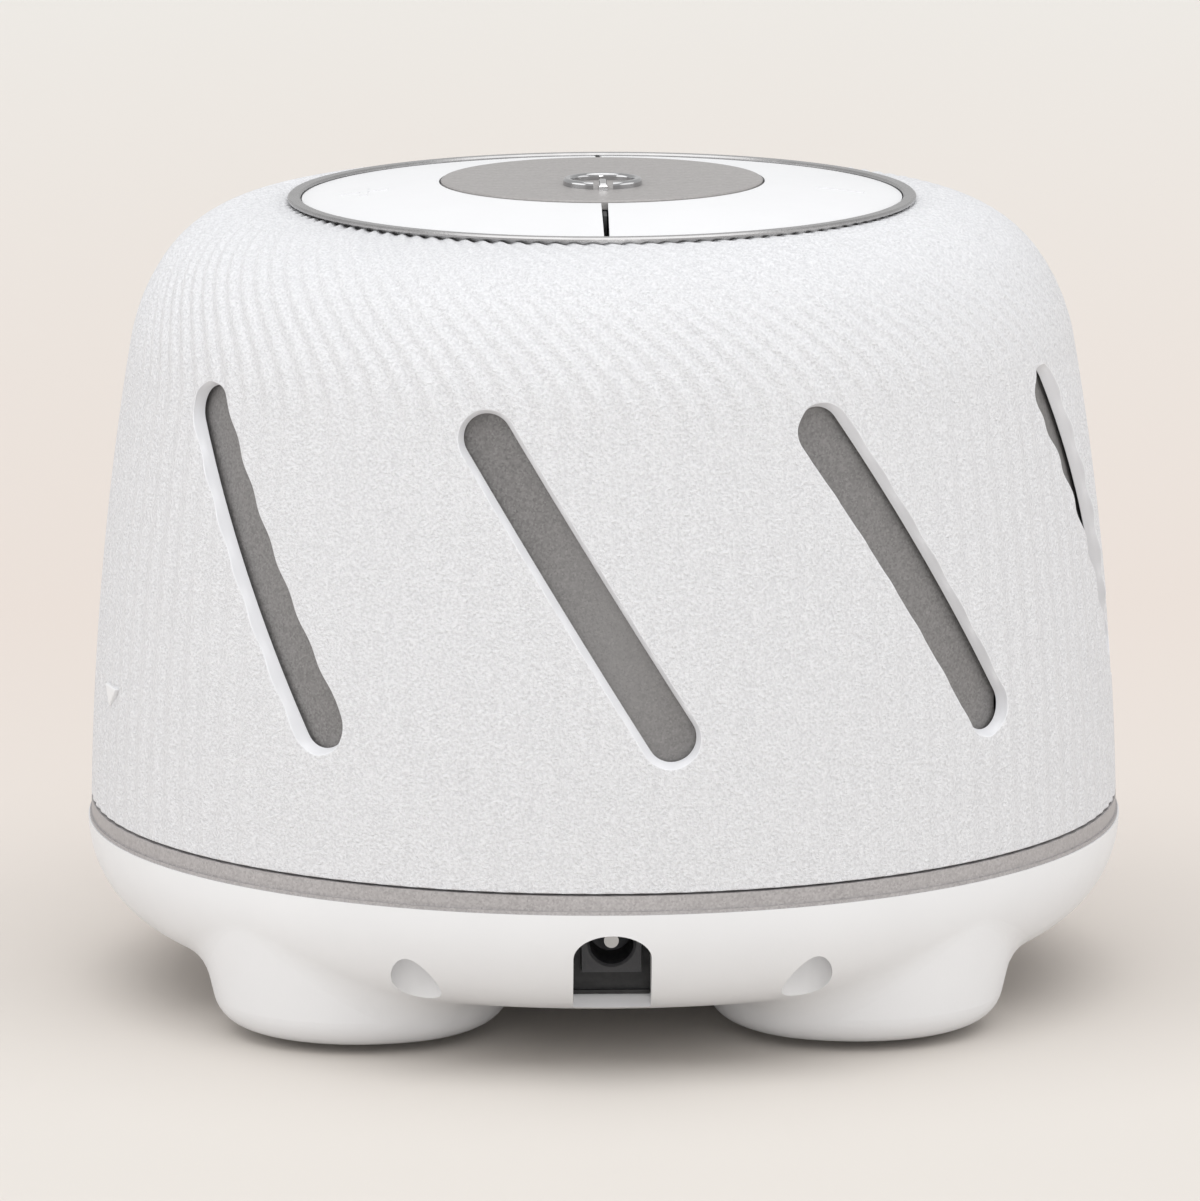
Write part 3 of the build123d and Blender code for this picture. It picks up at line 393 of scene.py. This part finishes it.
def build_dome():
    """The whole fluted dome: a sector's mesh turned to each place, and the seams joined."""
    slotted, unslotted = build_sector(True), build_sector(False)
    verts, faces, grain = [], [], []
    for k in range(slot_count):
        azimuth = slot_azimuth + k * SECTOR
        patch = unslotted if over_pointer(azimuth) else slotted
        turn = Matrix.Rotation(math.radians(azimuth), 4, "Z")
        base = len(verts)
        verts += [turn @ vert for vert in patch.verts]
        faces += [tuple(base + v for v in face) for face in patch.faces]
        grain += patch.grain
    dome = add_mesh("fluted_dome", verts, faces)
    layer = dome.data.attributes.new("grain", "FLOAT", "POINT")
    layer.data.foreach_set("value", grain)
    weld(dome.data)
    smooth(dome.data)
    return dome


def weld(mesh):
    """Joins vertices that coincide, and turns the faces outwards."""
    work = bmesh.new()
    work.from_mesh(mesh)
    bmesh.ops.remove_doubles(work, verts=work.verts, dist=weld_distance * MM)
    bmesh.ops.recalc_face_normals(work, faces=work.faces)
    work.to_mesh(mesh)
    work.free()


def smooth(mesh):
    """Smooth shading, but for the sharp edges."""
    mesh.shade_smooth()
    mesh.set_sharp_from_angle(angle=math.radians(sharp_angle))


def build_pointer():
    """The small smooth triangle near the dome's foot, pointing down."""
    half = pointer_height / 2
    across = math.degrees(pointer_width / 2 / dome_foot_radius)
    middle = along_at(pointer_middle)
    corners = [(-across, half), (across, half), (0.0, -half)]
    verts = []
    for inset in (-pointer_relief, flute_depth + pointer_sink):
        for azimuth, rise in corners:
            verts.append(place(pointer_azimuth + azimuth, middle + rise, inset))
    faces = [(0, 1, 2), (0, 3, 4, 1), (1, 4, 5, 2), (2, 5, 3, 0), (5, 4, 3)]
    pointer = add_mesh("pointer", verts, faces)
    weld(pointer.data)
    bevel = pointer.modifiers.new("rounded", "BEVEL")
    bevel.width = pointer_rounding * MM
    bevel.segments = rounding_steps
    smooth(pointer.data)
    return pointer


# ------------------------------------------------------------------- materials
NOISE_RANGE = (0.3, 0.7)       # most of a noise's values lie between these
WAVE_RADIANS = 20.0            # of a wave texture, for each unit of its scaled place


class Finish:
    """A material and its nodes. Sizes are in millimetres."""

    def __init__(self, name, **values):
        self.material = bpy.data.materials.new(name)
        self.material.use_nodes = True
        self.nodes = self.material.node_tree.nodes
        self.links = self.material.node_tree.links
        self.shader = self.nodes["Principled BSDF"]
        self.coords = self.nodes.new("ShaderNodeTexCoord")
        for socket, value in values.items():
            self.shader.inputs[socket.replace("_", " ")].default_value = value

    def textured(self, kind, scale):
        """A texture node that follows the object."""
        node = self.nodes.new(kind)
        node.inputs["Scale"].default_value = scale
        self.links.new(self.coords.outputs["Object"], node.inputs["Vector"])
        return node

    def noise(self, size, detail=2.0, rough=0.5):
        """Noise whose blotches are about this size."""
        node = self.textured("ShaderNodeTexNoise", 1 / (size * MM))
        node.inputs["Detail"].default_value = detail
        node.inputs["Roughness"].default_value = rough
        return node.outputs["Fac"]

    def cells(self, size):
        """Random values, one for each grain of this size."""
        return self.textured("ShaderNodeTexVoronoi", 1 / (size * MM)).outputs["Color"]

    def bands(self, direction, radian):
        """Waves along a direction, with the length of one radian."""
        node = self.textured("ShaderNodeTexWave", 1 / (radian * MM) / WAVE_RADIANS)
        node.bands_direction = direction
        return node.outputs["Fac"]

    def ramp(self, value, stops):
        """The colour that a value has between stops of (value, colour)."""
        node = self.nodes.new("ShaderNodeValToRGB")
        ends = node.color_ramp.elements
        while len(ends) < len(stops):
            ends.new(0.5)
        for end, (position, colour) in zip(ends, stops):
            end.position = position
            end.color = (*colour, 1.0)
        self.links.new(value, node.inputs["Fac"])
        return node.outputs["Color"]

    def between(self, value, low, high, ends=NOISE_RANGE):
        """The colour between two, as a value goes from one end to the other."""
        return self.ramp(value, list(zip(ends, (low, high))))

    def mix(self, share, low, high):
        """The colour between a fixed one and another, by a share from 0 to 1."""
        node = self.nodes.new("ShaderNodeMix")
        node.data_type = "RGBA"
        colours = [socket for socket in node.inputs if socket.type == "RGBA"]
        self.links.new(share, node.inputs["Factor"])
        colours[0].default_value = (*low, 1.0)
        self.links.new(high, colours[1])
        return [socket for socket in node.outputs if socket.type == "RGBA"][0]

    def combine(self, operation, a, b):
        """A sum, product or the like of two values, either of which can be a number."""
        node = self.nodes.new("ShaderNodeMath")
        node.operation = operation
        for socket, value in zip(node.inputs, (a, b)):
            if isinstance(value, (int, float)):
                socket.default_value = value
            else:
                self.links.new(value, socket)
        return node.outputs["Value"]

    def attribute(self, name):
        node = self.nodes.new("ShaderNodeAttribute")
        node.attribute_name = name
        return node.outputs["Fac"]

    def colour(self, source):
        self.links.new(source, self.shader.inputs["Base Color"])

    def roughness(self, value, low, high, ends=NOISE_RANGE):
        """Roughness between two, as a value goes from one end to the other."""
        source = self.between(value, (low,) * 3, (high,) * 3, ends)
        self.links.new(source, self.shader.inputs["Roughness"])

    def bump(self, height, depth, share=None):
        """Relief of a depth, where a share can fade it out."""
        node = self.nodes.new("ShaderNodeBump")
        node.inputs["Distance"].default_value = depth * MM
        node.inputs["Strength"].default_value = 1.0
        if share is not None:
            self.links.new(share, node.inputs["Strength"])
        self.links.new(height, node.inputs["Height"])
        self.links.new(node.outputs["Normal"], self.shader.inputs["Normal"])


def shades(tone, spread):
    """A darker and a lighter shade of a tone."""
    return [tuple(min(1.0, part * (1 + side * spread)) for part in tone) for side in (-1, 1)]


def grained_white():
    """Satin white plastic with a fine leathery grain, smooth where the mould is polished. Where
    grained, painted shade makes the colour darker on the whole and darker still in the grain's
    hollows.
    """
    f = Finish("grained_white_plastic", Specular_IOR_Level=0.4, Subsurface_Weight=0.05,
               Subsurface_Radius=(0.002, 0.002, 0.002))
    grain = f.noise(0.42, detail=3.0, rough=0.6)
    share = f.attribute("grain")
    # painted shade: the grained white is darker than the polished one, and darkest where the
    # grain's relief is low
    grain_hollow_shade = f.between(grain, (0.655, 0.658, 0.677), (0.795, 0.799, 0.820), ends=(0.36, 0.64))
    f.colour(f.mix(share, (0.770, 0.775, 0.800), grain_hollow_shade))
    f.roughness(f.noise(2.0), 0.44, 0.52)
    f.bump(grain, 0.40, share=share)
    return f.material


def smooth_white():
    """The same plastic from a polished mould."""
    f = Finish("smooth_white_plastic", Specular_IOR_Level=0.45)
    f.colour(f.between(f.noise(18.0, detail=3.0), (0.750, 0.753, 0.765), (0.770, 0.773, 0.785)))
    f.roughness(f.noise(3.0), 0.34, 0.42)
    f.bump(f.noise(0.4), 0.012)
    return f.material


def metallic_grey(name, tone, sparkle):
    """Grey plastic with fine metallic flake."""
    f = Finish(name, Metallic=0.25, Specular_IOR_Level=0.4)
    flakes = f.cells(0.28)
    blotches = f.noise(0.6, detail=3.0)
    mottle = f.combine("ADD", f.combine("MULTIPLY", flakes, 0.6),
                       f.combine("MULTIPLY", blotches, 0.4))
    f.colour(f.between(mottle, *shades(tone, sparkle), ends=(0.15, 0.85)))
    f.roughness(flakes, 0.38, 0.55, ends=(0.2, 0.8))
    f.bump(f.noise(0.3), 0.03)
    return f.material


def plain(name, tone, roughness, metallic=0.0, size=1.0, relief=0.02):
    """A moulded or machined surface with slight unevenness in its colour and gloss."""
    f = Finish(name, Metallic=metallic)
    f.colour(f.between(f.noise(size * 4, detail=3.0), *shades(tone, 0.08)))
    f.roughness(f.noise(size), roughness * 0.9, min(1.0, roughness * 1.1))
    f.bump(f.noise(size * 0.5), relief)
    return f.material


def ferrous(name, tone, roughness):
    """A machined metal surface."""
    return plain(name, tone, roughness, metallic=1.0, size=0.8, relief=0.01)


def woven_disc():
    """The grey disc: satin plastic moulded with a fine square mesh."""
    f = Finish("grey_disc_plastic", Metallic=0.15, Specular_IOR_Level=0.4)
    f.colour(f.between(f.cells(0.3), (0.305, 0.292, 0.286), (0.365, 0.350, 0.343), ends=(0.1, 0.9)))
    f.roughness(f.noise(1.0), 0.42, 0.5)
    f.bump(f.combine("MINIMUM", f.bands("X", 0.45), f.bands("Y", 0.45)), 0.04)
    return f.material


def chrome():
    """Polished trim, a little darker than silver."""
    f = Finish("chrome_trim", Metallic=1.0)
    f.colour(f.between(f.noise(4.0), (0.42, 0.42, 0.425), (0.47, 0.47, 0.475)))
    f.roughness(f.noise(1.0), 0.08, 0.14)
    return f.material


FINISHES = {                   # by the material slots of the record
    "white_plastic": smooth_white(),
    "grey_metallic_plastic": metallic_grey("grey_metallic_plastic", (0.395, 0.378, 0.378), 0.22),
    "grey_disc_plastic": woven_disc(),
    "black_plastic": plain("black_plastic", (0.018, 0.018, 0.020), 0.45),
    "inner_plastic": plain("inner_plastic", (0.05, 0.05, 0.052), 0.5),
    "chrome_trim": chrome(),
    "rubber": plain("rubber", (0.035, 0.035, 0.036), 0.8, relief=0.05),
    "steel": ferrous("steel", (0.55, 0.55, 0.57), 0.32),
    "bronze": ferrous("bronze", (0.55, 0.38, 0.20), 0.45),
    "ferrite": plain("ferrite", (0.06, 0.06, 0.065), 0.6),
    "laminated_iron": ferrous("laminated_iron", (0.32, 0.30, 0.28), 0.5),
    "circuit_board": plain("circuit_board", (0.02, 0.16, 0.07), 0.3),
    "lead_sheath": plain("lead_sheath", (0.03, 0.03, 0.03), 0.5),
}

NODE_FINISHES = {              # of nodes that look different from their slot
    # painted shade: the band's metallic grey at about half its lightness, for the shade inside the
    # slots
    "tone_sleeve": metallic_grey("sleeve_grey_painted_shade", (0.195, 0.189, 0.187), 0.32),
    "trim_ring": ferrous("satin_trim", (0.40, 0.395, 0.395), 0.28),
    # partly painted shade: black plastic, made darker than the other black parts for the shade deep
    # in the notch
    "inlet_plate": plain("inlet_black_and_shade", (0.006, 0.006, 0.007), 0.6),
    "dc_jack": plain("socket_black", (0.030, 0.030, 0.033), 0.55, size=0.6, relief=0.04),
}


def dress_nodes():
    """Each node takes its own finish, or the one of its slot in the record."""
    for part in frame["record"]["subparts"]:
        node = frame["nodes"][part["node"]]
        finish = NODE_FINISHES.get(part["node"], FINISHES[part["material_slot"]])
        node.data.materials.clear()
        node.data.materials.append(finish)


def dress_dome():
    """The fluted dome takes the place of the plain one, and the pointer rides on it."""
    dome = build_dome()
    dome.data.materials.append(grained_white())
    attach(dome, "dome")
    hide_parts("dome_shell")
    pointer = build_pointer()
    pointer.data.materials.append(FINISHES["white_plastic"])
    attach(pointer, "dome")


# ------------------------------------------------------- floor, light, camera
def direction(azimuth, elevation):
    """The unit vector towards an azimuth and an elevation in degrees."""
    turn, rise = math.radians(azimuth), math.radians(elevation)
    return Vector((math.sin(turn) * math.cos(rise), -math.cos(turn) * math.cos(rise),
                   math.sin(rise)))


def floor_finish():
    """Pale matte board, a little pinker behind the object than before it."""
    f = Finish("floor", Roughness=0.8, Specular_IOR_Level=0.2)
    split = f.nodes.new("ShaderNodeSeparateXYZ")
    f.links.new(f.coords.outputs["Object"], split.inputs["Vector"])
    past_near = f.combine("ADD", split.outputs["Y"], floor_near)
    share = f.combine("MULTIPLY", past_near, 1 / (floor_near + floor_far))
    f.colour(f.ramp(share, floor_colours))
    return f.material


def build_floor():
    signs = ((-1, -1), (1, -1), (1, 1), (-1, 1))
    corners = [(floor_half * x, floor_half * y, 0.0) for x, y in signs]
    floor = add_mesh("floor", corners, [(0, 1, 2, 3)])
    floor.data.materials.append(floor_finish())


def sun(name, azimuth, elevation, strength, spread):
    """A wide soft light from a direction, spread being the angle that it fills, in degrees."""
    light = bpy.data.lights.new(name, "SUN")
    light.energy = strength
    light.angle = math.radians(spread)
    lamp = bpy.data.objects.new(name, light)
    lamp.rotation_euler = direction(azimuth, elevation).to_track_quat("Z", "Y").to_euler()
    bpy.context.scene.collection.objects.link(lamp)


def build_light():
    """Even light from all round, and a few wide suns."""
    world = bpy.data.worlds.new("studio")
    world.use_nodes = True
    background = world.node_tree.nodes["Background"]
    background.inputs["Color"].default_value = (1.0, 1.0, 1.0, 1.0)
    background.inputs["Strength"].default_value = world_strength
    bpy.context.scene.world = world
    for values in suns:
        sun(*values)


def build_camera():
    """The camera, which looks at the target from the rear and a little above."""
    back = direction(camera_azimuth, camera_elevation)
    azimuth = math.radians(camera_azimuth)
    right = Vector((math.cos(azimuth), math.sin(azimuth), 0.0))
    target = (Vector((0, 0, target_height)) + right * target_sideways) * MM
    camera = bpy.data.cameras.new("camera")
    camera.lens = camera_lens
    camera.sensor_fit = "VERTICAL"
    camera.sensor_height = camera_sensor
    camera.clip_end = camera_reach
    rig = bpy.data.objects.new("camera", camera)
    turn = back.to_track_quat("Z", "Y").to_matrix().to_4x4()
    roll = Matrix.Rotation(math.radians(-camera_roll), 4, "Z")
    rig.matrix_world = Matrix.Translation(target + back * camera_distance * MM) @ turn @ roll
    bpy.context.scene.collection.objects.link(rig)
    bpy.context.scene.camera = rig


bpy.context.scene.view_settings.view_transform = "Standard"
dress_nodes()
dress_dome()
build_floor()
build_light()
build_camera()
